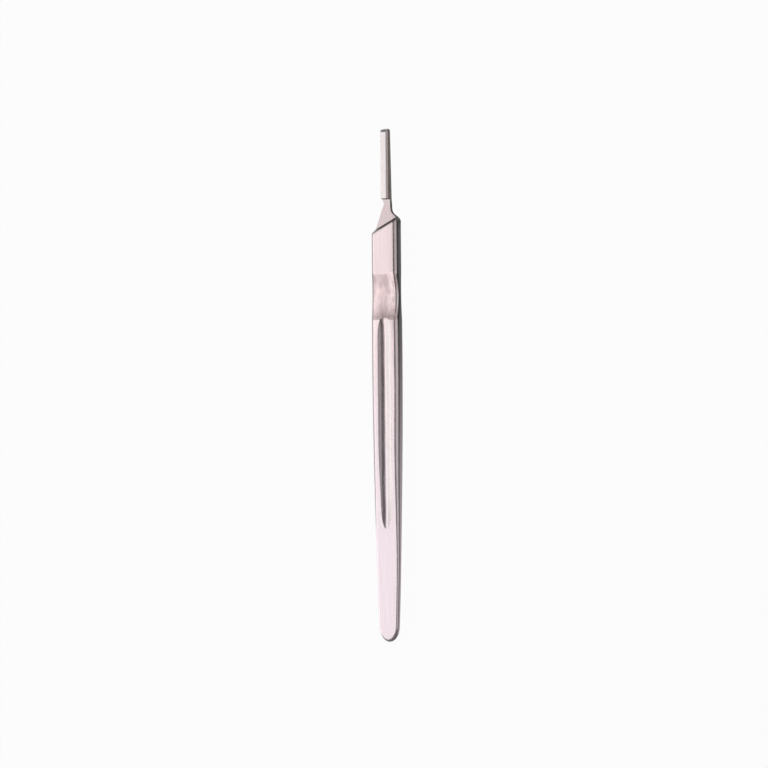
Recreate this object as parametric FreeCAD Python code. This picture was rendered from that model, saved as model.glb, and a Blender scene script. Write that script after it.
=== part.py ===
import FreeCAD, Part
import math
import os

# A scalpel handle, ground and satin finished from one flat steel forging.
# It lies on its back face: +Y runs to the blade end, +Z is up out of the front face, and X is
# across. Lengths along the handle are measured from the tail end, as "from tail" values.
# The origin is at the middle of the handle's length and width, on the surface it lies on.

# Overall size, in millimetres
LENGTH = 125.0
THICKNESS = 2.65

# Width along the handle
TAIL_END_WIDTH = 5.9
TAIL_WIDTH = 6.55
THINNING_WIDTH = 7.5
GRIP_TAIL_WIDTH = 8.1
GRIP_WIDTH = 8.45
BLOCK_WIDTH = 8.2

# Where those widths hold, from the tail end
TAIL_END_ROUND = 4.0
TAIL_AT = 12.0
THINNING_AT = 30.0
GRIP_TAIL_AT = 46.0
GRIP_AT = 60.0

# The tail is thinner than the grip and block, and swells to their thickness between two places
TAIL_END_THICKNESS = 1.25
TAIL_THICKNESS = 1.35
SWELL_START = 14.0
SWELL_END = 50.0

# Blade fitting, measured back from the tip: a base, and above it a boss grooved under each side
FITTING_LENGTH = 17.4
BASE_WIDTH = 2.2
BASE_TIP_WIDTH = 2.0
BASE_TIP_THICKNESS = 0.5
BASE_TIP_RADIUS = 0.7
BOSS_WIDTH = 1.86
BOSS_TIP_GAP = 0.2
BOSS_TIP_RADIUS = 0.62
BOSS_HEEL_RADIUS = 0.5
BOSS_CAP_HEIGHT = 0.65
BOSS_EDGE_RADIUS = 0.2
BOSS_NOSE_LENGTH = 0.7
BOSS_HEEL_RUN = 0.4
GROOVE_HEIGHT = 0.4
CORE_WIDTH = 1.4

# Neck behind the blade fitting, measured back from its waist
NECK_THICKNESS = 0.85
WAIST_BEHIND_HEEL = 0.8
WAIST_RIGHT = 1.2
WAIST_LEFT = 0.62
NECK_LEFT_LENGTH = 8.6
NECK_LEFT_RADIUS = 7.5
NECK_RIGHT_LENGTH = 5.6
NECK_CORNER_LENGTH = 4.6
NECK_CORNER_INSET = 0.25
NECK_FLARE_LENGTH = 3.0
NECK_FLARE_OUT = 1.1
BACK_RAMP_BEHIND_HEEL = 2.7
BACK_RAMP_RADIUS = 2.2

# Shoulder that the blade's tang meets, slanted across the front face
SHOULDER_BEHIND_HEEL = 6.65
SHOULDER_ANGLE = 25.0
SHOULDER_RUN = 0.95

# Finger scoop, the same on both faces
BLOCK_LENGTH = 17.8
SCOOP_LENGTH = 11.4
SCOOP_DEPTH = 0.54
SCOOP_EDGE_SHARE = 0.5

# Long flute, the same on both faces, up to the scoop and shallower towards the tail
FLUTE_START = 27.4
FLUTE_TAIL_RUN = 6.0
FLUTE_TAIL_DEPTH = 0.27
FLUTE_SCOOP_RUN = 6.0
FLUTE_INTO_SCOOP = 1.3
FLUTE_WIDTH = 4.05
FLUTE_DEPTH = 0.45
FLUTE_OVERRUN = 2.0

# Values worked out from the sizes above
MID = THICKNESS / 2
SEAT = MID
CAP_BOTTOM = SEAT + GROOVE_HEIGHT
CAP_TOP = CAP_BOTTOM + BOSS_CAP_HEIGHT
BOSS_TIP = LENGTH - BOSS_TIP_GAP
HEEL_AT = LENGTH - FITTING_LENGTH
WAIST_AT = HEEL_AT - WAIST_BEHIND_HEEL
SHOULDER_AT = HEEL_AT - SHOULDER_BEHIND_HEEL
BACK_RAMP_AT = HEEL_AT - BACK_RAMP_BEHIND_HEEL
SCOOP_END = HEEL_AT - BLOCK_LENGTH
SCOOP_START = SCOOP_END - SCOOP_LENGTH
FLUTE_TAPER_FROM = FLUTE_START + FLUTE_TAIL_RUN
FLUTE_END = SCOOP_START + FLUTE_INTO_SCOOP
FLUTE_FULL_TO = FLUTE_END - FLUTE_SCOOP_RUN
SPARE = 10.0


def along(from_tail):
    return from_tail - LENGTH / 2


def point(x, from_tail, z=0.0):
    return FreeCAD.Vector(x, along(from_tail), z)


def line(start, end):
    return Part.LineSegment(start, end).toShape()


def arc(start, middle, end):
    return Part.Arc(start, middle, end).toShape()


def smooth(points, first_tangent, last_tangent):
    curve = Part.BSplineCurve()
    curve.interpolate(Points=points, InitialTangent=first_tangent, FinalTangent=last_tangent)
    return curve.toShape()


def prism(edges, bottom, top):
    face = Part.Face(Part.Wire(edges))
    face.translate(FreeCAD.Vector(0, 0, bottom))
    return face.extrude(FreeCAD.Vector(0, 0, top - bottom))


def ease(share):
    """A rise from 0 to 1 that starts and ends level."""
    return share ** 2 * (3 - 2 * share)


def width_at(from_tail):
    """Width at any place from the tail's rounded end, on a smooth curve through the known ones."""
    if from_tail >= SCOOP_END:
        return BLOCK_WIDTH
    known = [
        (TAIL_END_ROUND, TAIL_END_WIDTH),
        (TAIL_AT, TAIL_WIDTH),
        (THINNING_AT, THINNING_WIDTH),
        (GRIP_TAIL_AT, GRIP_TAIL_WIDTH),
        (GRIP_AT, GRIP_WIDTH),
        (SCOOP_END, BLOCK_WIDTH),
    ]
    curve = Part.BSplineCurve()
    curve.interpolate(
        Points=[FreeCAD.Vector(width, 0, 0) for place, width in known],
        Parameters=[place for place, width in known],
    )
    return curve.value(from_tail).x


def thickness_at(from_tail):
    """Thin along the tail, then a smooth swell to the full thickness of the grip."""
    if from_tail <= SWELL_START:
        share = (from_tail - TAIL_END_ROUND) / (SWELL_START - TAIL_END_ROUND)
        return TAIL_END_THICKNESS + (TAIL_THICKNESS - TAIL_END_THICKNESS) * share
    share = min((from_tail - SWELL_START) / (SWELL_END - SWELL_START), 1.0)
    return TAIL_THICKNESS + (THICKNESS - TAIL_THICKNESS) * ease(share)


def section(from_tail, width, thickness):
    """A flat bar with half-round sides, cut across and centred on its middle plane."""
    side = width / 2
    rise = thickness / 2
    flat = side - rise
    left_top = point(-flat, from_tail, MID + rise)
    right_top = point(flat, from_tail, MID + rise)
    right_bottom = point(flat, from_tail, MID - rise)
    left_bottom = point(-flat, from_tail, MID - rise)
    return Part.Wire([
        line(left_top, right_top),
        arc(right_top, point(side, from_tail, MID), right_bottom),
        line(right_bottom, left_bottom),
        arc(left_bottom, point(-side, from_tail, MID), left_top),
    ])


def evenly(start, end, steps):
    """Evenly spaced places from start to end, both included."""
    return [start + (end - start) * step / steps for step in range(steps + 1)]


def tail_end():
    """The rounded tail end: half a round-edged disc, drawn out along the handle."""
    side = TAIL_END_WIDTH / 2
    rise = TAIL_END_THICKNESS / 2
    flat = side - rise
    bottom = FreeCAD.Vector(flat, 0, MID - rise)
    top = FreeCAD.Vector(flat, 0, MID + rise)
    bottom_middle = FreeCAD.Vector(0, 0, MID - rise)
    top_middle = FreeCAD.Vector(0, 0, MID + rise)
    half_section = Part.Wire([
        line(bottom_middle, bottom),
        arc(bottom, FreeCAD.Vector(side, 0, MID), top),
        line(top, top_middle),
        line(top_middle, bottom_middle),
    ])
    disc = Part.Face(half_section).revolve(FreeCAD.Vector(0, 0, 0), FreeCAD.Vector(0, 0, -1), 180)
    drawn_out = FreeCAD.Matrix()
    drawn_out.A22 = TAIL_END_ROUND / side
    disc = disc.transformGeometry(drawn_out)
    disc.translate(point(0, TAIL_END_ROUND))
    return disc


def scoop_depth(from_tail):
    """Depth of the scoop's circular hollow below the face at a place."""
    half = (SCOOP_END - SCOOP_START) / 2
    radius = (half ** 2 + SCOOP_DEPTH ** 2) / (2 * SCOOP_DEPTH)
    offset = from_tail - (SCOOP_START + SCOOP_END) / 2
    return math.sqrt(radius ** 2 - offset ** 2) - (radius - SCOOP_DEPTH)


def tail():
    """The thin tail and the swell, up to the full thickness."""
    steps = 12
    sections = []
    for from_tail in evenly(TAIL_END_ROUND, SWELL_END, steps):
        sections.append(section(from_tail, width_at(from_tail), thickness_at(from_tail)))
    return Part.makeLoft(sections, True, False)


def grip():
    """The stretch of full thickness, up to the scoop."""
    steps = 4
    sections = []
    for from_tail in evenly(SWELL_END, SCOOP_START, steps):
        sections.append(section(from_tail, width_at(from_tail), THICKNESS))
    return Part.makeLoft(sections, True, False)


def scoop_section(from_tail):
    """A section of the hollowed stretch, where the half-round sides are squeezed as well."""
    hollowed = THICKNESS - 2 * scoop_depth(from_tail)
    edge = hollowed + (THICKNESS - hollowed) * SCOOP_EDGE_SHARE
    squeeze = hollowed / edge
    squeezed = FreeCAD.Matrix()
    squeezed.A33 = squeeze
    squeezed.A34 = MID * (1 - squeeze)
    return section(from_tail, width_at(from_tail), edge).transformGeometry(squeezed)


def scoop():
    """The stretch hollowed on both faces, with the rounded edges following the hollow."""
    steps = 8
    sections = [scoop_section(from_tail) for from_tail in evenly(SCOOP_START, SCOOP_END, steps)]
    return Part.makeLoft(sections, True, False)


def block():
    """The plain stretch between the scoop and the blade fitting."""
    start = section(SCOOP_END, BLOCK_WIDTH, THICKNESS)
    end = section(WAIST_AT, BLOCK_WIDTH, THICKNESS)
    return Part.makeLoft([start, end], True, True)


def flute_depth(from_tail):
    """Deeper along a smooth taper from the tail, and rising on a parabola past each end."""
    share = (from_tail - FLUTE_TAPER_FROM) / (SWELL_END - FLUTE_TAPER_FROM)
    share = min(max(share, 0), 1)
    depth = FLUTE_TAIL_DEPTH + (FLUTE_DEPTH - FLUTE_TAIL_DEPTH) * ease(share)
    short = max(FLUTE_TAPER_FROM - from_tail, 0) / (FLUTE_TAPER_FROM - FLUTE_START)
    over = max(from_tail - FLUTE_FULL_TO, 0) / (FLUTE_END - FLUTE_FULL_TO)
    return depth * (1 - short ** 2 - over ** 2)


def flute_section(from_tail):
    """The lower part of a disc that dips into the front face by the flute's depth."""
    radius = ((FLUTE_WIDTH / 2) ** 2 + FLUTE_DEPTH ** 2) / (2 * FLUTE_DEPTH)
    face = MID + thickness_at(from_tail) / 2
    bottom = face - flute_depth(from_tail)
    spread = math.radians(60)
    half = radius * math.sin(spread)
    rim = bottom + radius * (1 - math.cos(spread))
    left = point(-half, from_tail, rim)
    right = point(half, from_tail, rim)
    return Part.Wire([arc(left, point(0, from_tail, bottom), right), line(right, left)])


def flute_cutter():
    """A long round-bottomed bar that rises out of the front face at both ends of the flute."""
    end_steps = 5
    taper_steps = 6
    stretches = [
        (FLUTE_START - FLUTE_OVERRUN, FLUTE_TAPER_FROM, end_steps),
        (FLUTE_TAPER_FROM, SWELL_END, taper_steps),
        (SWELL_END, FLUTE_FULL_TO, 1),
        (FLUTE_FULL_TO, FLUTE_END + FLUTE_OVERRUN, end_steps),
    ]
    bars = []
    for start, end, steps in stretches:
        sections = [flute_section(from_tail) for from_tail in evenly(start, end, steps)]
        bars.append(Part.makeLoft(sections, True, False))
    return bars[0].fuse(bars[1:])


def mirrored(shape):
    """The same form on the back face."""
    return shape.mirror(FreeCAD.Vector(0, 0, MID), FreeCAD.Vector(0, 0, 1))


def neck_left():
    """The neck's straight left edge and the arc that leads into it from the body's side."""
    side = BLOCK_WIDTH / 2
    start = WAIST_AT - NECK_LEFT_LENGTH
    turn = math.atan2(side - WAIST_LEFT, NECK_LEFT_LENGTH)
    reach = NECK_LEFT_RADIUS * math.tan(turn / 2)
    places = []
    for angle in (turn, turn / 2, 0):
        inward = NECK_LEFT_RADIUS * (1 - math.cos(angle))
        ahead = NECK_LEFT_RADIUS * math.sin(angle)
        places.append(point(inward - side, start - reach + ahead))
    return [line(point(-WAIST_LEFT, WAIST_AT), places[0]), arc(*places)]


def front_outline():
    """Neck and base of the blade fitting, seen from the front, with clear space behind them."""
    body_side = BLOCK_WIDTH / 2
    clear = body_side + SPARE
    heel = BASE_WIDTH / 2
    tip = BASE_TIP_WIDTH / 2
    bend = BASE_TIP_RADIUS * math.sqrt(0.5)
    tip_y = LENGTH - BASE_TIP_RADIUS
    inner = tip - BASE_TIP_RADIUS
    right_start = WAIST_AT - NECK_RIGHT_LENGTH
    forward = FreeCAD.Vector(0, 1, 0)
    flare = [
        point(body_side, right_start),
        point(body_side - NECK_CORNER_INSET, WAIST_AT - NECK_CORNER_LENGTH),
        point(WAIST_RIGHT + NECK_FLARE_OUT, WAIST_AT - NECK_FLARE_LENGTH),
        point(WAIST_RIGHT, WAIST_AT),
    ]
    left_edge = neck_left()
    left_end = left_edge[-1].Vertexes[-1].Point
    left_clear = FreeCAD.Vector(-clear, left_end.y, 0)
    return [
        line(point(-clear, -SPARE), point(clear, -SPARE)),
        line(point(clear, -SPARE), point(clear, right_start)),
        line(point(clear, right_start), flare[0]),
        smooth(flare, forward, forward),
        line(flare[-1], point(heel, HEEL_AT)),
        line(point(heel, HEEL_AT), point(tip, tip_y)),
        arc(point(tip, tip_y), point(inner + bend, tip_y + bend), point(inner, LENGTH)),
        line(point(inner, LENGTH), point(-inner, LENGTH)),
        arc(point(-inner, LENGTH), point(-inner - bend, tip_y + bend), point(-tip, tip_y)),
        line(point(-tip, tip_y), point(-heel, HEEL_AT)),
        line(point(-heel, HEEL_AT), point(-WAIST_LEFT, WAIST_AT)),
        *left_edge,
        line(left_end, left_clear),
        line(left_clear, point(-clear, -SPARE)),
    ]


def front_plate():
    """Neck and base as one flat plate, thinner to the tip, behind the blade's plane."""
    bottom = SEAT - NECK_THICKNESS
    plate = prism(front_outline(), bottom, SEAT)
    tip_bottom = SEAT - BASE_TIP_THICKNESS
    under = Part.Wire([
        line(point(-SPARE, HEEL_AT, bottom), point(-SPARE, LENGTH, tip_bottom)),
        line(point(-SPARE, LENGTH, tip_bottom), point(-SPARE, LENGTH + SPARE, tip_bottom)),
        line(point(-SPARE, LENGTH + SPARE, tip_bottom), point(-SPARE, LENGTH + SPARE, bottom)),
        line(point(-SPARE, LENGTH + SPARE, bottom), point(-SPARE, HEEL_AT, bottom)),
    ])
    wedge = Part.Face(under).extrude(FreeCAD.Vector(2 * SPARE, 0, 0))
    keep = Part.makeBox(2 * SPARE, LENGTH, THICKNESS, point(-SPARE, BACK_RAMP_AT))
    return plate.common(keep).cut(wedge)


def shoulder_cutter():
    """Everything above the blade's plane ahead of the slanted shoulder."""
    reach = 4 * SPARE
    slope = SHOULDER_RUN / (THICKNESS - SEAT)
    above = THICKNESS + SPARE
    profile = [
        FreeCAD.Vector(0, -slope * SPARE, above),
        FreeCAD.Vector(0, SHOULDER_RUN, SEAT),
        FreeCAD.Vector(0, reach, SEAT),
        FreeCAD.Vector(0, reach, above),
    ]
    edges = []
    for index, start in enumerate(profile):
        edges.append(line(start, profile[(index + 1) % len(profile)]))
    face = Part.Face(Part.Wire(edges))
    face.translate(FreeCAD.Vector(-reach / 2, 0, 0))
    cutter = face.extrude(FreeCAD.Vector(reach, 0, 0))
    cutter.rotate(FreeCAD.Vector(0, 0, 0), FreeCAD.Vector(0, 0, 1), SHOULDER_ANGLE)
    cutter.translate(point(0, SHOULDER_AT))
    return cutter


def back_cutter():
    """Everything behind the neck, with the curved ramp that leads up to it."""
    bottom = SEAT - NECK_THICKNESS
    centre = FreeCAD.Vector(-SPARE, along(BACK_RAMP_AT), bottom - BACK_RAMP_RADIUS)
    across = FreeCAD.Vector(1, 0, 0)
    ramp = Part.makeCylinder(BACK_RAMP_RADIUS, 2 * SPARE, centre, across)
    corner = FreeCAD.Vector(-SPARE, along(BACK_RAMP_AT), bottom - SPARE)
    clear = Part.makeBox(2 * SPARE, LENGTH, SPARE, corner)
    return ramp.fuse(clear)


def boss_outline(half, start, end, heel_radius, tip_radius):
    """The boss seen from the front, with rounded corners."""
    bend = math.sqrt(0.5)
    heel_in = half - heel_radius
    tip_in = half - tip_radius
    low = start + heel_radius
    high = end - tip_radius
    heel_bend = heel_radius * bend
    tip_bend = tip_radius * bend
    right_heel = point(heel_in + heel_bend, low - heel_bend)
    right_tip = point(tip_in + tip_bend, high + tip_bend)
    left_tip = point(-tip_in - tip_bend, high + tip_bend)
    left_heel = point(-heel_in - heel_bend, low - heel_bend)
    return [
        line(point(-heel_in, start), point(heel_in, start)),
        arc(point(heel_in, start), right_heel, point(half, low)),
        line(point(half, low), point(half, high)),
        arc(point(half, high), right_tip, point(tip_in, end)),
        line(point(tip_in, end), point(-tip_in, end)),
        arc(point(-tip_in, end), left_tip, point(-half, high)),
        line(point(-half, high), point(-half, low)),
        arc(point(-half, low), left_heel, point(-heel_in, start)),
    ]


def nose_cutter():
    """What the rounded nose takes off the boss: a corner with a quarter of an ellipse left in it."""
    height = CAP_TOP - CAP_BOTTOM
    start = BOSS_TIP - BOSS_NOSE_LENGTH
    across = FreeCAD.Vector(1, 0, 0)
    corner = Part.makeBox(2 * SPARE, SPARE, SPARE, point(-SPARE, start, CAP_BOTTOM))
    round_nose = Part.makeCylinder(height, 2 * SPARE, FreeCAD.Vector(-SPARE, 0, 0), across)
    drawn_out = FreeCAD.Matrix()
    drawn_out.A22 = BOSS_NOSE_LENGTH / height
    round_nose = round_nose.transformGeometry(drawn_out)
    round_nose.translate(point(0, start, CAP_BOTTOM))
    return corner.cut(round_nose)


def heel_cutter():
    """What the slanted heel takes off the back of the boss."""
    slope = BOSS_HEEL_RUN / (CAP_TOP - SEAT)
    above = CAP_TOP + SPARE
    low = point(-SPARE, HEEL_AT, SEAT)
    high = point(-SPARE, HEEL_AT + slope * (above - SEAT), above)
    back = point(-SPARE, HEEL_AT - SPARE, above)
    wedge = Part.Face(Part.Wire([line(low, high), line(high, back), line(back, low)]))
    return wedge.extrude(FreeCAD.Vector(2 * SPARE, 0, 0))


def boss():
    """The cap that holds the blade down, on the narrower core that fits the blade's slot."""
    half = BOSS_WIDTH / 2
    core = CORE_WIDTH / 2
    step = half - core
    cap_edges = boss_outline(half, HEEL_AT, BOSS_TIP, BOSS_HEEL_RADIUS, BOSS_TIP_RADIUS)
    cap = prism(cap_edges, CAP_BOTTOM, CAP_TOP)
    middle = (CAP_BOTTOM + CAP_TOP) / 2
    rim = [edge for edge in cap.Edges if edge.BoundBox.ZMin > middle]
    cap = cap.makeFillet(BOSS_EDGE_RADIUS, rim).cut(nose_cutter())
    core_edges = boss_outline(
        core, HEEL_AT + step, BOSS_TIP - step, BOSS_HEEL_RADIUS - step, BOSS_TIP_RADIUS - step
    )
    return prism(core_edges, SEAT, CAP_BOTTOM).fuse(cap).cut(heel_cutter())


def handle():
    body = tail_end().fuse([tail(), grip(), scoop(), block()])
    flute = flute_cutter()
    body = body.cut(flute).cut(mirrored(flute))
    outline = prism(front_outline(), -SPARE, SPARE)
    body = body.common(outline)
    body = body.cut(shoulder_cutter()).cut(back_cutter())
    body = body.fuse([front_plate(), boss()])
    return body.removeSplitter()


os.makedirs("parts", exist_ok=True)
part = handle()
part.exportStep("parts/handle.step")
print("solids", len(part.Solids), "valid", part.isValid(), "volume", round(part.Volume, 1))
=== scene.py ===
import math

import bpy
import numpy as np
from mathutils import Matrix, Vector


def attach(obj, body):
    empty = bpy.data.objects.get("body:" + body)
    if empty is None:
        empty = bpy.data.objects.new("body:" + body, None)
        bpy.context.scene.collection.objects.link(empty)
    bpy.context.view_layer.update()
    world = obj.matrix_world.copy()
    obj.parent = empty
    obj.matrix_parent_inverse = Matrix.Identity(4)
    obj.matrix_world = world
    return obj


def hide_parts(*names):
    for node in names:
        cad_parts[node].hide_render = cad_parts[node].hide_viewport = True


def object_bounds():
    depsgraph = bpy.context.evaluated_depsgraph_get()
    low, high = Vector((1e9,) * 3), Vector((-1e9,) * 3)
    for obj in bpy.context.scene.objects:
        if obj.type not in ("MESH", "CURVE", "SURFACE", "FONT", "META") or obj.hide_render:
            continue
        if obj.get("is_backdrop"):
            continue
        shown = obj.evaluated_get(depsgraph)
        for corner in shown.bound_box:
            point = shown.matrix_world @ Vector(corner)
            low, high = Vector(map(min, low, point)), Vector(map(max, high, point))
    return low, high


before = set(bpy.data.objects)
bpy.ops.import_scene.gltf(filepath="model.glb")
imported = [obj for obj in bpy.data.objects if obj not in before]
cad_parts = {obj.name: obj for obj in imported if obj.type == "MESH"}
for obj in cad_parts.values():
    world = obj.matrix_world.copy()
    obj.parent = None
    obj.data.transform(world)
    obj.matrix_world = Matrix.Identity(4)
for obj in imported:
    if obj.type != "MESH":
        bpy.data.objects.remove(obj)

# A satin steel scalpel handle lying on its back face on a white table, in soft studio light.
# The scene is in metres: +Y runs to the blade end, and +Z is up out of the front face.
# On the handle, sizes are in millimetres and places are counted from the tail end.
# A span is (start, end): a ramp goes smoothly from one level to another over it.

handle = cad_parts["handle"]
low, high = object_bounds()
centre = (low + high) / 2

MILLIMETRE = 0.001
WHITE = (1.0, 1.0, 1.0)

# The handle's form; widths are (place, width)
LENGTH = 125.0
THICKNESS = 2.65
WIDTHS = ((4.0, 5.9), (12.0, 6.55), (30.0, 7.5), (46.0, 8.1), (60.0, 8.45), (89.8, 8.2))
TAIL_END_ROUND = 4.0
TAIL_END_WIDTH = 5.9
TAIL_END_THICKNESS = 1.25
TAIL_THICKNESS = 1.35
SWELL_START = 14.0
SWELL_END = 50.0
SCOOP_START = 78.4
SCOOP_END = 89.8
SCOOP_DEPTH = 0.54
SCOOP_EDGE_SHARE = 0.5
SHOULDER_AT = 100.95
SHOULDER_ANGLE = math.radians(25.0)
HEEL_AT = 107.6
FLUTE_START = 27.4
FLUTE_TAPER_FROM = 33.4
FLUTE_FULL_TO = 73.7
FLUTE_END = 79.7
FLUTE_TAIL_DEPTH = 0.27
FLUTE_DEPTH = 0.45
FLUTE_WIDTH = 4.05

# Shading by the form: how closely a patch has to fit a form to be shaded as it, how far inside
# a corner the form is read, and the step over which its slope is taken
PATCH_FIT = 0.06
CORNER_INSET = 0.02
SLOPE_STEP = 0.0001

# Camera: its angle, scale and lean, and the place of the object's middle in the picture, in
# pixels from the left and from the top
VIEW_FROM_UPRIGHT = math.radians(36.0)
IMAGE_WIDTH = 768.0
PIXELS_PER_METRE = 4106.0
OBJECT_CENTRE_X = 387.6
OBJECT_CENTRE_Y = 385.2
LEAN = math.radians(0.49)
LENS = 0.200
SENSOR = 0.036
CLIP_START = 0.01
CLIP_END = 20.0

# Sockets of a Mix node that mixes colours: its share, its two colours and its result
MIX_SHARE = 0
MIX_FIRST = 6
MIX_SECOND = 7
MIX_RESULT = 2

# In the steel below, a surface's uprightness, lean and end lean are the parts of its direction
# along Z, X and Y.

# Textures of the steel: the size of their marks across and along the handle, and their detail
GROUND_LINES = (0.16, 9.0, 3.0)
FINE_GRAIN = (0.07, 0.5, 2.0)
CLOUDS = (1.6, 3.5, 2.0)
PATCHES = (3.2, 6.0, 1.0)
BRUSHED = (0.5, 0.35, 2.0)

# Colour of the faces, and the spans of places over which one tint gives way to the next
BLADE_END_TINT = (0.92, 0.765, 0.78)
TAIL_TINT = (0.915, 0.795, 0.845)
FITTING_TINT = (0.90, 0.83, 0.83)
# The flute wall's tint is painted shade that tones down its bright reflection
FLUTE_WALL_PAINTED_SHADE = (0.72, 0.66, 0.65)
SCOOP_TINT = (0.97, 0.765, 0.775)
TO_TAIL = (87.5, 25.0)
TO_FITTING = (HEEL_AT - 1.0, HEEL_AT)

# The flute's left wall: spans of distance from the handle's middle, uprightness and lean
FLUTE_WALL_ACROSS = (2.0, 2.1)
FLUTE_WALL_UPRIGHT = (0.80, 0.90)
FLUTE_WALL_LEAN = (-0.02, -0.12)

# Wear on the faces: how much each texture adds to it, its span, and the shades it gives
CLOUDS_IN_WEAR = 0.8
BRUSHED_IN_WEAR = 0.6
WEAR = (0.75, 1.65)
WEAR_SHADES = (0.92, 1.06)

# The seat behind the blade lies in the middle plane: its painted shade, standing for the shade of
# the recess it lies in, and the heights where it ends
SEAT_SHADE = 0.80
SEAT_HEIGHTS = (0.05, 0.15)

# The scoop's mottled tone, with painted shade towards its ends and a lighter right side: spans
# along it are in shares of its half length
SCOOP_MASK = (0.86, 1.06)
SCOOP_TO_ENDS = (0.2, 0.85)
SCOOP_TO_ENDS_SHADES = (0.88, 0.72)
SCOOP_TO_RIGHT = (0.4, 2.2)
SCOOP_RIGHT_GAIN = 0.30
MOTTLE = (0.82, 1.18)
MOTTLE_SHADES = (0.80, 1.08)

# Painted shades of the block's right side, the shoulder's top edge, the left edge and the two
# ends
TO_BLOCK = (SCOOP_END, SCOOP_END + 0.5)
BLOCK_TO_RIGHT = (1.0, 3.0)
BLOCK_RIGHT_SHADE = 0.87
SHOULDER_TO_EDGE = (-0.45, -0.05)
SHOULDER_BEYOND = (1.0, 1.5)
SHOULDER_HEIGHTS = (0.8, 1.2)
SHOULDER_EDGE_SHADE = 0.50
LEFT_EDGE_UPRIGHT = (0.995, 0.93)
LEFT_EDGE_LEAN = (-0.03, -0.10)
LEFT_EDGE_ACROSS = (-2.0, -2.4)
LEFT_EDGE_FROM = (24.0, 32.0)
LEFT_EDGE_SHADE = 0.42
END_LEAN = (0.22, 0.50)
END_SHADE = 0.40

# Sides: their painted shade, a dark colour that stands for the dark reflection the sides show,
# and the uprightness at which it begins and at which it is full; its edge is ragged by the ground
# lines, and comes earlier on the right of the scoop, where it covers a light reflection
SIDE_PAINTED_SHADE = (0.10, 0.094, 0.097)
TAIL_SIDE_PAINTED_SHADE = (0.36, 0.31, 0.325)
NECK_SIDE_PAINTED_SHADE = (0.075, 0.07, 0.07)
BASE_SIDE_PAINTED_SHADE = (0.13, 0.12, 0.115)
BOSS_SIDE_PAINTED_SHADE = (0.36, 0.315, 0.30)
TO_NECK = (SHOULDER_AT - 1.0, SHOULDER_AT + 1.0)
BASE_TO_BOSS = (-0.05, 0.05)
SIDE_STARTS = 0.76
SIDE_FULL = 0.55
RAGGED_BY = (0.3, 0.7)
RAGGED = 0.04
SCOOP_SIDE_EARLIER = 0.14

# Roughness, which grows at the tail end of the flute
ROUGHNESS_BY = (0.6, 1.4)
ROUGHNESSES = (0.20, 0.27)
TO_FLUTE_END = (38.0, 29.0)
FLUTE_END_ROUGHER = 0.20

# Relief: how much each texture adds to that of the ground lines, and its depth
FINE_IN_RELIEF = 0.35
PATCHES_IN_RELIEF = 2.0
SCOOP_WAVES = 14.0
RELIEF_DEPTH = 0.0022

# Table: half its width in metres, its colour, and how much of its own white is added where the
# camera sees it straight or in the steel
TABLE_HALF = 8.0
TABLE_COLOUR = (0.93, 0.93, 0.93)
TABLE_SELF_LIGHT = 0.94

# Panels beside the handle: the two angles they reach between, in degrees from upright towards
# +X, then distance in metres, the panel's two ends on Y in metres, and level
SIDE_PANELS = {
    "key": (-84.0, -31.0, 0.6, -0.30, 0.20, 1.13),
    "overhead_line": (-5.0, 3.0, 0.9, -0.30, 0.30, 0.45),
    "strip": (10.0, 56.0, 0.8, -0.25, 0.25, 0.50),
}

# Panel overhead beyond the blade end, on the camera's side; its sizes are in metres
END_PANEL_DIRECTION = Vector((0.254, 0.669, 0.698)).normalized()
END_PANEL_DISTANCE = 1.0
END_PANEL_WIDTH = 1.06
END_PANEL_LENGTH = 0.65
END_PANEL_LEVEL = 1.6

# Room: its level, and its levels low down and beyond the handle's ends, from left to right;
# the spans are of a direction's part along X, Y or Z
ROOM_LEVEL = 0.07
ROOM_LOW_LEVEL = 0.42
ROOM_END_LEVELS = (0.40, 0.14)
ROOM_TO_RIGHT = (-0.6, 0.6)
ROOM_TO_ENDS = (0.30, 0.50)
ROOM_TO_LOW = (0.40, 0.25)


def ease(share):
    """A rise from 0 to 1 that starts and ends level."""
    share = np.clip(share, 0, 1)
    return share ** 2 * (3 - 2 * share)


def width_at(place):
    """Width of the handle on a smooth curve through the known widths."""
    places, widths = np.array(WIDTHS).T
    slopes = np.gradient(widths, places)
    place = np.clip(place, places[0], places[-1])
    index = np.clip(np.searchsorted(places, place) - 1, 0, len(places) - 2)
    gap = places[index + 1] - places[index]
    share = (place - places[index]) / gap
    rise = ease(share)
    start_bend = share * (1 - share) ** 2 * gap * slopes[index]
    end_bend = share ** 2 * (share - 1) * gap * slopes[index + 1]
    return widths[index] * (1 - rise) + widths[index + 1] * rise + start_bend + end_bend


def thickness_at(place):
    """Thickness of the handle where nothing is hollowed out of it."""
    share = np.clip((place - TAIL_END_ROUND) / (SWELL_START - TAIL_END_ROUND), 0, 1)
    tail = TAIL_END_THICKNESS + (TAIL_THICKNESS - TAIL_END_THICKNESS) * share
    swell = ease((place - SWELL_START) / (SWELL_END - SWELL_START))
    return tail + (THICKNESS - TAIL_THICKNESS) * swell


def scoop_depth(place):
    """Depth of the finger scoop, a circular arc."""
    half = (SCOOP_END - SCOOP_START) / 2
    radius = (half ** 2 + SCOOP_DEPTH ** 2) / (2 * SCOOP_DEPTH)
    offset = np.clip(place - (SCOOP_START + SCOOP_END) / 2, -half, half)
    return np.sqrt(radius ** 2 - offset ** 2) - (radius - SCOOP_DEPTH)


def body_form(across, place, height):
    """How far a point is outside the bar with rounded sides; height is from the middle plane."""
    end = np.minimum(place - TAIL_END_ROUND, 0) * TAIL_END_WIDTH / 2 / TAIL_END_ROUND
    reach = np.hypot(across, end)
    hollow = scoop_depth(place)
    half_thickness = thickness_at(place) / 2 - hollow
    side = half_thickness + hollow * SCOOP_EDGE_SHARE
    beyond_flat = np.maximum(reach - (width_at(place) / 2 - side), 0)
    return (np.hypot(beyond_flat / side, height / half_thickness) - 1) * half_thickness


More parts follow.
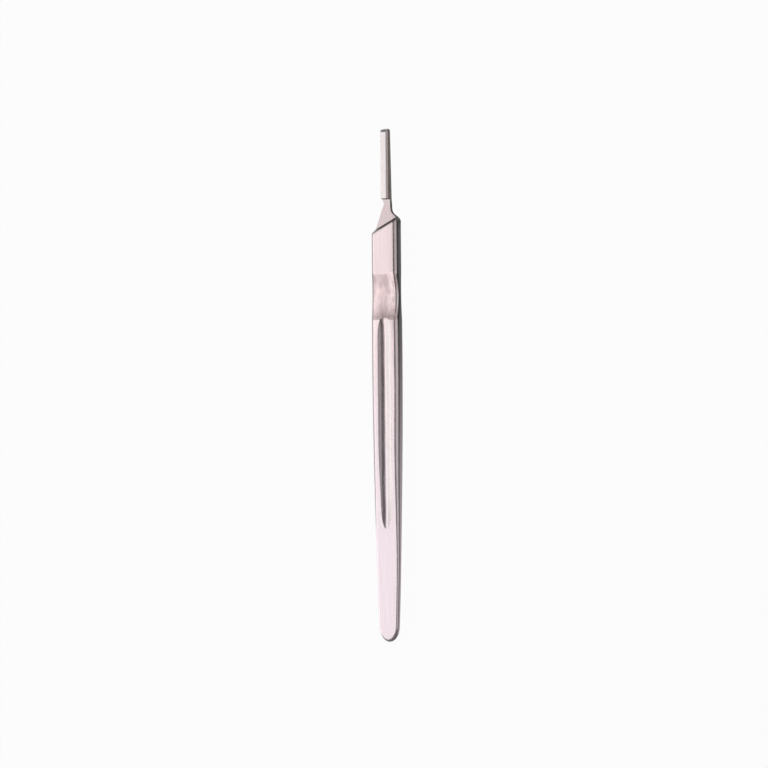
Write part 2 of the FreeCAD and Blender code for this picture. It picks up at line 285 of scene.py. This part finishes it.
def flute_form(across, place, height):
    """How far a point is inside the round cutter of the front flute."""
    radius = ((FLUTE_WIDTH / 2) ** 2 + FLUTE_DEPTH ** 2) / (2 * FLUTE_DEPTH)
    taper = ease((place - FLUTE_TAPER_FROM) / (SWELL_END - FLUTE_TAPER_FROM))
    depth = FLUTE_TAIL_DEPTH + (FLUTE_DEPTH - FLUTE_TAIL_DEPTH) * taper
    short = np.maximum(FLUTE_TAPER_FROM - place, 0) / (FLUTE_TAPER_FROM - FLUTE_START)
    over = np.maximum(place - FLUTE_FULL_TO, 0) / (FLUTE_END - FLUTE_FULL_TO)
    bottom = thickness_at(place) / 2 - depth * (1 - short ** 2 - over ** 2)
    return radius - np.hypot(across, height - bottom - radius)


def back_flute_form(across, place, height):
    """The same for the back flute, on the other side of the middle plane."""
    return flute_form(across, place, -height)


def outward(form, points):
    """The direction out of a form at each point."""
    slopes = []
    for axis in range(3):
        move = np.zeros(3)
        move[axis] = SLOPE_STEP
        slopes.append(form(*(points + move).T) - form(*(points - move).T))
    slopes = np.stack(slopes, axis=1)
    return slopes / np.linalg.norm(slopes, axis=1, keepdims=True)


def faces_by_patch(mesh):
    """The mesh's triangles, sorted into the patches that share no vertex with each other."""
    owner = list(range(len(mesh.vertices)))

    def root(vertex):
        while owner[vertex] != vertex:
            owner[vertex] = owner[owner[vertex]]
            vertex = owner[vertex]
        return vertex

    for polygon in mesh.polygons:
        first = root(polygon.vertices[0])
        for vertex in polygon.vertices[1:]:
            owner[root(vertex)] = first
    patches = {}
    for polygon in mesh.polygons:
        patches.setdefault(root(polygon.vertices[0]), []).append(polygon.index)
    return list(patches.values())


def smooth_normals(mesh):
    """Gives each patch of the body and the flutes the direction of its true curved surface."""
    vertices = np.zeros(len(mesh.vertices) * 3)
    mesh.vertices.foreach_get("co", vertices)
    vertices = vertices.reshape(-1, 3) / MILLIMETRE + (0, LENGTH / 2, -THICKNESS / 2)
    normals = np.array([corner.vector[:] for corner in mesh.corner_normals])
    for patch in faces_by_patch(mesh):
        corners = np.array([list(mesh.polygons[face].loop_indices) for face in patch])
        triangles = vertices[[list(mesh.polygons[face].vertices) for face in patch]]
        middles = triangles.mean(axis=1)
        edges = triangles[:, 1:] - triangles[:, :1]
        flat = np.cross(edges[:, 0], edges[:, 1])
        areas = np.linalg.norm(flat, axis=1)
        flat /= areas[:, None]
        found = None
        least = PATCH_FIT
        for form in (body_form, flute_form, back_flute_form):
            gap = np.average(np.abs(form(*middles.T)), weights=areas)
            turned = 1 - np.average((outward(form, middles) * flat).sum(axis=1), weights=areas)
            if gap + turned < least:
                found = form
                least = gap + turned
        if found:
            inside = triangles + (middles[:, None] - triangles) * CORNER_INSET
            normals[corners.ravel()] = outward(found, inside.reshape(-1, 3))
    mesh.normals_split_custom_set(normals.tolist())


def steel_piece():
    """The handle with the same faces as the solid, shaded as the smooth surface it stands for."""
    mesh = handle.data.copy()
    smooth_normals(mesh)
    mesh.materials.clear()
    mesh.materials.append(steel_material())
    piece = bpy.data.objects.new("handle_steel", mesh)
    bpy.context.scene.collection.objects.link(piece)
    piece.matrix_world = handle.matrix_world.copy()
    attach(piece, "root")
    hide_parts("handle")


def at(place):
    """The scene's Y at a place on the handle."""
    return (place - LENGTH / 2) * MILLIMETRE


def along_span(span):
    """A span of places, as a span of the scene's Y."""
    return [at(place) for place in span]


def metres(span):
    """A span in millimetres, as one in metres."""
    return [value * MILLIMETRE for value in span]


class Graph:
    """A node tree, with short ways to add its nodes and to join them."""

    def __init__(self, tree):
        self.tree = tree
        tree.nodes.clear()

    def add(self, kind, settings=None, **inputs):
        node = self.tree.nodes.new("ShaderNode" + kind)
        for key, value in (settings or {}).items():
            setattr(node, key, value)
        for key, value in inputs.items():
            self.feed(node, key.replace("_", " "), value)
        return node

    def feed(self, node, key, value):
        """Links a socket to an input, or sets the input to a value."""
        socket = node.inputs[key]
        if isinstance(value, bpy.types.NodeSocket):
            self.tree.links.new(value, socket)
        else:
            socket.default_value = value

    def feed_in_order(self, node, *values):
        """Feeds values to a node's first inputs."""
        for index, value in enumerate(values):
            self.feed(node, index, value)

    def math(self, operation, *values):
        node = self.add("Math", {"operation": operation})
        self.feed_in_order(node, *values)
        return node.outputs[0]

    def total(self, first, *others):
        for other in others:
            first = self.math("ADD", first, other)
        return first

    def product(self, first, *others):
        for other in others:
            first = self.math("MULTIPLY", first, other)
        return first

    def ramp(self, value, start, end, first=0.0, last=1.0):
        """Goes smoothly from first to last as a value goes from start to end."""
        node = self.add("MapRange", {"interpolation_type": "SMOOTHSTEP"})
        self.feed_in_order(node, value, start, end, first, last)
        return node.outputs[0]

    def within(self, mask, shade):
        """The shade inside a mask, and 1 outside it."""
        return self.ramp(mask, 0.0, 1.0, 1.0, shade)

    def blend(self, share, first, second, mode="MIX"):
        node = self.add("Mix", {"data_type": "RGBA", "blend_type": mode})
        self.feed(node, MIX_SHARE, share)
        for key, colour in ((MIX_FIRST, first), (MIX_SECOND, second)):
            self.feed(node, key, (*colour, 1.0) if isinstance(colour, tuple) else colour)
        return node.outputs[MIX_RESULT]

    def shaded(self, tint, shade):
        """A tint made darker or lighter by a shade."""
        grey = self.add("CombineXYZ", X=shade, Y=shade, Z=shade).outputs[0]
        return self.blend(1.0, tint, grey, "MULTIPLY")

    def grain(self, place, across, along, detail):
        """Noise from 0 to 1, with marks of a size across and along the handle."""
        scale = (1 / (size * MILLIMETRE) for size in (across, along, across))
        mapping = self.add("Mapping", Vector=place, Scale=tuple(scale))
        noise = self.add("TexNoise", Vector=mapping.outputs[0], Scale=1.0, Detail=detail)
        return noise.outputs[0]


class Steel(Graph):
    """The steel's node tree, with the readings, textures and masks that its parts share."""

    def __init__(self, tree):
        super().__init__(tree)
        coordinates = self.add("TexCoord").outputs
        place = coordinates["Object"]
        position = self.add("SeparateXYZ", Vector=place).outputs
        self.across = position["X"]
        self.along = position["Y"]
        self.up = position["Z"]
        self.from_seat = self.math("ABSOLUTE", self.math("SUBTRACT", self.up, centre.z))

        normal = self.add("SeparateXYZ", Vector=coordinates["Normal"]).outputs
        self.lean = normal["X"]
        self.end_lean = self.math("ABSOLUTE", normal["Y"])
        self.upright = self.math("ABSOLUTE", normal["Z"])

        self.lines = self.grain(place, *GROUND_LINES)
        self.fine = self.grain(place, *FINE_GRAIN)
        self.clouds = self.grain(place, *CLOUDS)
        self.patches = self.grain(place, *PATCHES)
        self.brushed = self.grain(place, *BRUSHED)

        self.to_tail = self.ramp(self.along, *along_span(TO_TAIL))
        self.on_fitting = self.ramp(self.along, *along_span(TO_FITTING))

        from_middle = self.math("ABSOLUTE", self.across)
        self.on_flute_wall = self.product(
            self.ramp(from_middle, *metres(FLUTE_WALL_ACROSS), 1.0, 0.0),
            self.ramp(self.upright, *FLUTE_WALL_UPRIGHT),
            self.ramp(self.lean, *FLUTE_WALL_LEAN),
        )

        scoop_half = (SCOOP_END - SCOOP_START) / 2 * MILLIMETRE
        from_scoop = self.math("SUBTRACT", self.along, at((SCOOP_START + SCOOP_END) / 2))
        from_scoop = self.math("ABSOLUTE", from_scoop)
        self.to_scoop_end = self.math("DIVIDE", from_scoop, scoop_half)
        self.in_scoop = self.ramp(self.to_scoop_end, *SCOOP_MASK, 1.0, 0.0)
        self.scoop_to_right = self.ramp(self.across, *metres(SCOOP_TO_RIGHT))


def face_tint(steel):
    """Colour of the faces, with painted shade toning down the flute wall's bright reflection."""
    tint = steel.blend(steel.to_tail, BLADE_END_TINT, TAIL_TINT)
    tint = steel.blend(steel.on_fitting, tint, FITTING_TINT)
    tint = steel.blend(steel.on_flute_wall, tint, FLUTE_WALL_PAINTED_SHADE)
    return steel.blend(steel.in_scoop, tint, SCOOP_TINT)


def scoop_shade(steel):
    """The scoop's mottled shade, with painted shade darkening its ends, and lighter on the right.
    """
    mottle = steel.ramp(steel.total(steel.clouds, steel.patches), *MOTTLE, *MOTTLE_SHADES)
    ends = steel.ramp(steel.to_scoop_end, *SCOOP_TO_ENDS, *SCOOP_TO_ENDS_SHADES)
    right = steel.total(1.0, steel.product(steel.scoop_to_right, SCOOP_RIGHT_GAIN))
    return steel.within(steel.in_scoop, steel.product(mottle, ends, right))


def block_shade(steel):
    """A painted shade darkening the right side ahead of the scoop."""
    right = steel.ramp(steel.across, *metres(BLOCK_TO_RIGHT), 1.0, BLOCK_RIGHT_SHADE)
    return steel.within(steel.ramp(steel.along, *along_span(TO_BLOCK)), right)


def shoulder_shade(steel):
    """A painted dark line of shade along the top edge of the slanted shoulder."""
    slant = steel.product(steel.across, math.tan(SHOULDER_ANGLE))
    ahead = steel.math("SUBTRACT", steel.along, at(SHOULDER_AT))
    ahead = steel.math("SUBTRACT", ahead, slant)
    painted_edge_shade = steel.ramp(ahead, *metres(SHOULDER_TO_EDGE), 1.0, SHOULDER_EDGE_SHADE)
    raised = steel.product(
        steel.ramp(steel.from_seat, *metres(SHOULDER_HEIGHTS)),
        steel.ramp(ahead, *metres(SHOULDER_BEYOND), 1.0, 0.0),
    )
    return steel.within(raised, painted_edge_shade)


def left_edge_shade(steel):
    """A painted dark line of shade where the face turns down into the left side."""
    edge = steel.product(
        steel.ramp(steel.upright, *LEFT_EDGE_UPRIGHT),
        steel.ramp(steel.lean, *LEFT_EDGE_LEAN),
        steel.ramp(steel.across, *metres(LEFT_EDGE_ACROSS)),
        steel.ramp(steel.along, *along_span(LEFT_EDGE_FROM)),
    )
    return steel.within(edge, LEFT_EDGE_SHADE)


def face_shade(steel):
    """How bright the faces are: their wear, and painted shade on the seat, scoop, block, shoulder
    and left edge.
    """
    wear = steel.total(
        steel.lines,
        steel.product(steel.clouds, CLOUDS_IN_WEAR),
        steel.product(steel.brushed, BRUSHED_IN_WEAR),
    )
    return steel.product(
        steel.ramp(wear, *WEAR, *WEAR_SHADES),
        steel.ramp(steel.from_seat, *metres(SEAT_HEIGHTS), SEAT_SHADE, 1.0),
        scoop_shade(steel),
        block_shade(steel),
        shoulder_shade(steel),
        left_edge_shade(steel),
    )


def side_painted_shade(steel):
    """Painted shade on the sides, for their dark reflection: lighter at the tail, darkest on the
    neck.
    """
    tint = steel.blend(steel.to_tail, SIDE_PAINTED_SHADE, TAIL_SIDE_PAINTED_SHADE)
    neck = steel.ramp(steel.along, *along_span(TO_NECK))
    tint = steel.blend(neck, tint, NECK_SIDE_PAINTED_SHADE)
    heights = [centre.z + height for height in metres(BASE_TO_BOSS)]
    fitting = steel.blend(steel.ramp(steel.up, *heights), BASE_SIDE_PAINTED_SHADE, BOSS_SIDE_PAINTED_SHADE)
    return steel.blend(steel.on_fitting, tint, fitting)


def on_side(steel):
    """Mask of the sides' painted shade, which comes earlier on the right of the scoop to cover a
    light reflection.
    """
    ragged = steel.ramp(steel.lines, *RAGGED_BY, -RAGGED, RAGGED)
    earlier = steel.product(steel.in_scoop, steel.scoop_to_right, SCOOP_SIDE_EARLIER)
    edge = steel.math("SUBTRACT", steel.total(steel.upright, ragged), earlier)
    return steel.ramp(edge, SIDE_FULL, SIDE_STARTS, 1.0, 0.0)


def roughness(steel):
    """Roughness of the steel, uneven with its grain and clouds."""
    varied = steel.ramp(steel.total(steel.fine, steel.clouds), *ROUGHNESS_BY, *ROUGHNESSES)
    flute_end = steel.ramp(steel.along, *along_span(TO_FLUTE_END), 0.0, FLUTE_END_ROUGHER)
    return steel.total(varied, steel.product(flute_end, steel.on_flute_wall))


def relief(steel):
    """The fine relief of the ground lines and grain, and of the waves in the scoop."""
    height = steel.total(
        steel.lines,
        steel.product(steel.fine, FINE_IN_RELIEF),
        steel.product(steel.patches, PATCHES_IN_RELIEF),
        steel.product(steel.clouds, steel.in_scoop, SCOOP_WAVES),
    )
    depth = RELIEF_DEPTH * MILLIMETRE
    return steel.add("Bump", Height=height, Strength=1.0, Distance=depth).outputs[0]


def steel_material():
    """Satin ground steel, bright on the faces, with painted shade round the long edges and at the
    ends.
    """
    material = bpy.data.materials.new("satin_steel")
    material.use_nodes = True
    steel = Steel(material.node_tree)
    tint = steel.shaded(face_tint(steel), face_shade(steel))
    # The sides take their painted shade, which stands for their dark reflection
    tint = steel.blend(on_side(steel), tint, side_painted_shade(steel))
    # Painted shade on surfaces that lean towards the ends, such as the tail rim, the nose and the
    # heel
    tint = steel.shaded(tint, steel.ramp(steel.end_lean, *END_LEAN, 1.0, END_SHADE))
    shader = steel.add(
        "BsdfPrincipled",
        Metallic=1.0, Base_Color=tint, Roughness=roughness(steel), Normal=relief(steel),
    )
    steel.add("OutputMaterial", Surface=shader.outputs["BSDF"])
    return material


def table_material():
    """A white table that keeps the handle's shadow, and shows white in the steel as well."""
    material = bpy.data.materials.new("white_table")
    material.use_nodes = True
    graph = Graph(material.node_tree)
    surface = graph.add("BsdfDiffuse", Color=(*TABLE_COLOUR, 1.0)).outputs[0]
    own = graph.add("Emission", Color=(*WHITE, 1.0), Strength=1.0).outputs[0]
    path = graph.add("LightPath").outputs
    seen = graph.math("MAXIMUM", path["Is Camera Ray"], path["Is Glossy Ray"])
    seen = graph.math("MAXIMUM", seen, path["Is Transmission Ray"])
    mixed = graph.add("MixShader")
    graph.feed_in_order(mixed, graph.product(seen, TABLE_SELF_LIGHT), surface, own)
    graph.add("OutputMaterial", Surface=mixed.outputs[0])
    return material


def table():
    """A square table top under the handle."""
    half = TABLE_HALF
    mesh = bpy.data.meshes.new("table")
    corners = [(-half, -half, 0.0), (half, -half, 0.0), (half, half, 0.0), (-half, half, 0.0)]
    mesh.from_pydata(corners, [], [(0, 1, 2, 3)])
    mesh.materials.append(table_material())
    floor = bpy.data.objects.new("table", mesh)
    bpy.context.scene.collection.objects.link(floor)
    floor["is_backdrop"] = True


def panel(name, direction, distance, width, length, level):
    """A flat light panel, its length along the handle; its level is 1 where it looks white."""
    data = bpy.data.lights.new(name, "AREA")
    data.shape = "RECTANGLE"
    data.size = width
    data.size_y = length
    data.energy = level * math.pi * width * length
    ahead = Vector((0.0, 1.0, 0.0))
    lengthways = (ahead - direction * ahead.dot(direction)).normalized()
    sideways = lengthways.cross(direction)
    basis = Matrix((sideways, lengthways, direction)).transposed()
    light = bpy.data.objects.new(name, data)
    light.location = centre + direction * distance
    light.rotation_mode = "QUATERNION"
    light.rotation_quaternion = basis.to_quaternion()
    bpy.context.scene.collection.objects.link(light)
    return light


def side_panel(name, start, end, distance, tail_end, blade_end, level):
    """A panel beside the handle, between two angles and two places on Y."""
    angle = math.radians((start + end) / 2)
    width = 2 * distance * math.tan(math.radians((end - start) / 2))
    direction = Vector((math.sin(angle), 0.0, math.cos(angle)))
    light = panel(name, direction, distance, width, blade_end - tail_end, level)
    light.location.y += (blade_end + tail_end) / 2


def room_light():
    """A dim room, lighter beyond the handle's ends and low down."""
    world = bpy.data.worlds.new("room")
    world.use_nodes = True
    graph = Graph(world.node_tree)
    place = graph.add("TexCoord").outputs["Generated"]
    direction = graph.add("SeparateXYZ", Vector=place).outputs
    end_level = graph.ramp(direction["X"], *ROOM_TO_RIGHT, *ROOM_END_LEVELS)
    lengthways = graph.math("ABSOLUTE", direction["Y"])
    ends = graph.ramp(lengthways, *ROOM_TO_ENDS, ROOM_LEVEL, end_level)
    low_down = graph.ramp(direction["Z"], *ROOM_TO_LOW, ROOM_LEVEL, ROOM_LOW_LEVEL)
    strength = graph.math("MAXIMUM", ends, low_down)
    background = graph.add("Background", Color=(*WHITE, 1.0), Strength=strength)
    graph.add("OutputWorld", Surface=background.outputs[0])
    bpy.context.scene.world = world


def camera():
    """A long lens from the handle's right side, with the blade end at the top of the picture."""
    tilt = VIEW_FROM_UPRIGHT
    back = Vector((math.sin(tilt), 0.0, math.cos(tilt)))
    across = Vector((math.cos(tilt), 0.0, -math.sin(tilt)))
    ahead = Vector((0.0, 1.0, 0.0))
    right = across * math.cos(LEAN) - ahead * math.sin(LEAN)
    up = ahead * math.cos(LEAN) + across * math.sin(LEAN)
    middle = IMAGE_WIDTH / 2
    shift_right = (OBJECT_CENTRE_X - middle) / PIXELS_PER_METRE
    shift_up = (middle - OBJECT_CENTRE_Y) / PIXELS_PER_METRE
    target = centre - right * shift_right - up * shift_up
    distance = (IMAGE_WIDTH / PIXELS_PER_METRE) * LENS / SENSOR
    data = bpy.data.cameras.new("camera")
    data.lens = LENS / MILLIMETRE
    data.sensor_width = SENSOR / MILLIMETRE
    data.clip_start = CLIP_START
    data.clip_end = CLIP_END
    view = bpy.data.objects.new("camera", data)
    view.location = target + back * distance
    view.rotation_mode = "QUATERNION"
    view.rotation_quaternion = Matrix((right, up, back)).transposed().to_quaternion()
    bpy.context.scene.collection.objects.link(view)
    bpy.context.scene.camera = view


steel_piece()
table()
camera()
for name, settings in SIDE_PANELS.items():
    side_panel(name, *settings)
panel(
    "blade_end_panel",
    END_PANEL_DIRECTION, END_PANEL_DISTANCE, END_PANEL_WIDTH, END_PANEL_LENGTH, END_PANEL_LEVEL,
)
room_light()
bpy.context.scene.view_settings.view_transform = "Standard"

low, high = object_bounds()
